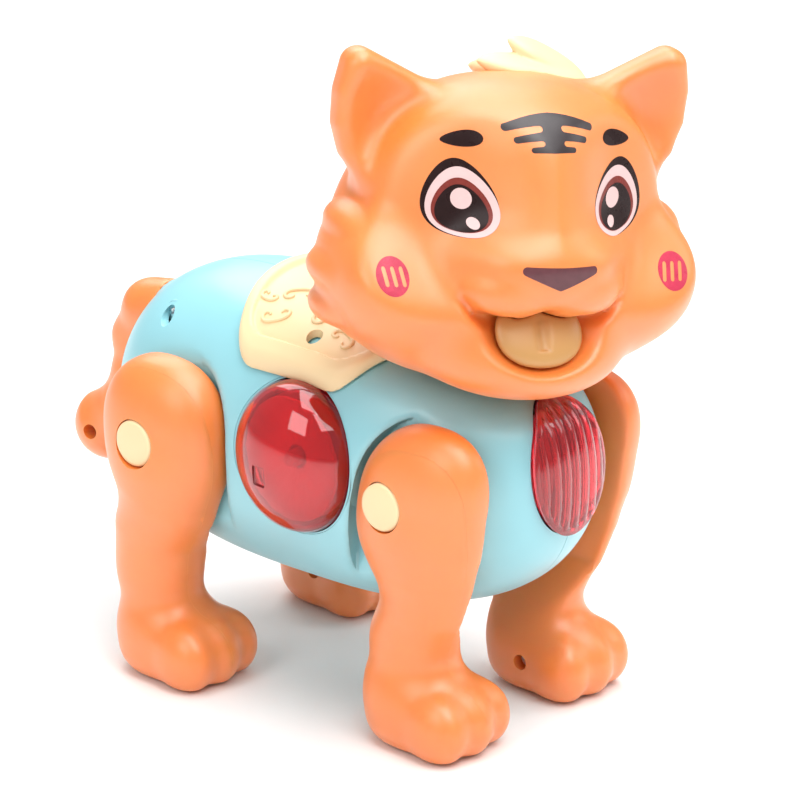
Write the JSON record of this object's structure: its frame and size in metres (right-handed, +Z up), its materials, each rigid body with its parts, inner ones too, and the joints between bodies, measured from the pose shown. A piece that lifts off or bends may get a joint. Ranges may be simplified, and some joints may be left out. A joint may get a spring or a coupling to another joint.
{
  "type": "crawling tiger cub toy",
  "caption": "Battery-driven crawling tiger cub toy: moulded orange head, legs and tail on a pale blue barrel body with cream saddle and clear red lenses.",
  "frame": {"origin": "on the ground under the middle of the toy's overall box", "axes": "+Z up, -Y the way the body faces and walks, +X towards the toy's own left flank"},
  "size_m": [0.107, 0.208, 0.2003],
  "materials": {
    "orange_vinyl": "satin",
    "blue_plastic": "gloss",
    "cream_plastic": "satin",
    "red_clear": "clear gloss",
    "dark_plastic": "matte",
    "gear_plastic": "moulded",
    "bright_steel": "bright",
    "green_board": "varnished",
    "cell_jacket": "printed jacket",
    "sole_rubber": "matte"
  },
  "bodies": {
    "torso": {"body_shell_right": "blue_plastic", "body_shell_left": "blue_plastic", "saddle": "cream_plastic", "side_lens_right": "red_clear", "side_lens_left": "red_clear", "chest_lens": "red_clear", "side_lamp_right": "gear_plastic", "side_lamp_left": "gear_plastic", "chest_lamp": "gear_plastic", "neck_post": "gear_plastic", "battery_tray": "dark_plastic", "battery_cell_1": "cell_jacket", "battery_cell_2": "cell_jacket", "battery_cell_3": "cell_jacket", "battery_door": "blue_plastic", "motor": "bright_steel", "gearbox_case": "gear_plastic", "gearbox_cover": "gear_plastic", "circuit_board": "green_board", "speaker": "dark_plastic", "switch_body": "dark_plastic"},
    "switch": {"switch_knob": "dark_plastic"},
    "crank": {"crank_shaft": "gear_plastic"},
    "bar_right": {"drive_bar_right": "gear_plastic"},
    "bar_left": {"drive_bar_left": "gear_plastic"},
    "leg_front_right": {"leg_front_right_outer": "orange_vinyl", "leg_front_right_inner": "orange_vinyl", "leg_front_right_cap": "cream_plastic", "leg_front_right_rocker": "gear_plastic", "leg_front_right_sole": "sole_rubber"},
    "leg_front_left": {"leg_front_left_outer": "orange_vinyl", "leg_front_left_inner": "orange_vinyl", "leg_front_left_cap": "cream_plastic", "leg_front_left_rocker": "gear_plastic", "leg_front_left_sole": "sole_rubber"},
    "leg_rear_right": {"leg_rear_right_outer": "orange_vinyl", "leg_rear_right_inner": "orange_vinyl", "leg_rear_right_cap": "cream_plastic", "leg_rear_right_rocker": "gear_plastic", "leg_rear_right_sole": "sole_rubber"},
    "leg_rear_left": {"leg_rear_left_outer": "orange_vinyl", "leg_rear_left_inner": "orange_vinyl", "leg_rear_left_cap": "cream_plastic", "leg_rear_left_rocker": "gear_plastic", "leg_rear_left_sole": "sole_rubber"},
    "head": {"face_shell": "orange_vinyl", "head_back_shell": "orange_vinyl", "hair_tuft": "cream_plastic", "tongue": "cream_plastic"},
    "tail": {"tail_right": "orange_vinyl", "tail_left": "orange_vinyl", "tail_pin": "gear_plastic"}
  },
  "joints": [
    {"name": "leg_front_right_swing", "type": "hinge", "parent": "torso", "child": "leg_front_right", "pos_m": [-0.02957, -0.0529, 0.075], "axis": [1, 0, 0], "range_deg": [-10, 10]},
    {"name": "leg_rear_left_swing", "type": "hinge", "parent": "torso", "child": "leg_rear_left", "pos_m": [0.03493, 0.0336, 0.075], "axis": [1, 0, 0], "range_deg": [-10, 10]},
    {"name": "leg_front_left_swing", "type": "hinge", "parent": "torso", "child": "leg_front_left", "pos_m": [0.03043, -0.0529, 0.075], "axis": [1, 0, 0], "range_deg": [-10, 10]},
    {"name": "leg_rear_right_swing", "type": "hinge", "parent": "torso", "child": "leg_rear_right", "pos_m": [-0.03407, 0.0336, 0.075], "axis": [1, 0, 0], "range_deg": [-10, 10]},
    {"name": "crank_turn", "type": "hinge", "parent": "torso", "child": "crank", "pos_m": [0.00043, -0.01165, 0.075], "axis": [1, 0, 0], "range_deg": [-77, 77]},
    {"name": "bar_right_slide", "type": "slide", "parent": "torso", "child": "bar_right", "axis": [0, 1, 0], "range_m": [-0.00195, 0.00195]},
    {"name": "bar_left_slide", "type": "slide", "parent": "torso", "child": "bar_left", "axis": [0, 1, 0], "range_m": [-0.00195, 0.00195]},
    {"name": "head_turn", "type": "hinge", "parent": "torso", "child": "head", "pos_m": [0.00043, -0.0519, 0.107], "axis": [0, -0.1908, 0.9816], "range_deg": [0, 60]},
    {"name": "tail_wag", "type": "hinge", "parent": "torso", "child": "tail", "pos_m": [0.00043, 0.0666, 0.095], "axis": [0, 1, 0], "range_deg": [-15, 15]},
    {"name": "switch_slide", "type": "slide", "parent": "torso", "child": "switch", "axis": [1, 0, 0], "range_m": [0, 0.0044]}
  ],
  "couplings": [
    {"joint": "leg_rear_left_swing", "follows": "leg_front_right_swing", "ratio": 1},
    {"joint": "leg_front_left_swing", "follows": "leg_front_right_swing", "ratio": -1},
    {"joint": "leg_rear_right_swing", "follows": "leg_front_right_swing", "ratio": -1},
    {"joint": "crank_turn", "follows": "leg_front_right_swing", "ratio": 7.28},
    {"joint": "bar_right_slide", "follows": "leg_front_right_swing", "m_per_rad": -0.011},
    {"joint": "bar_left_slide", "follows": "leg_front_right_swing", "m_per_rad": 0.011}
  ]
}
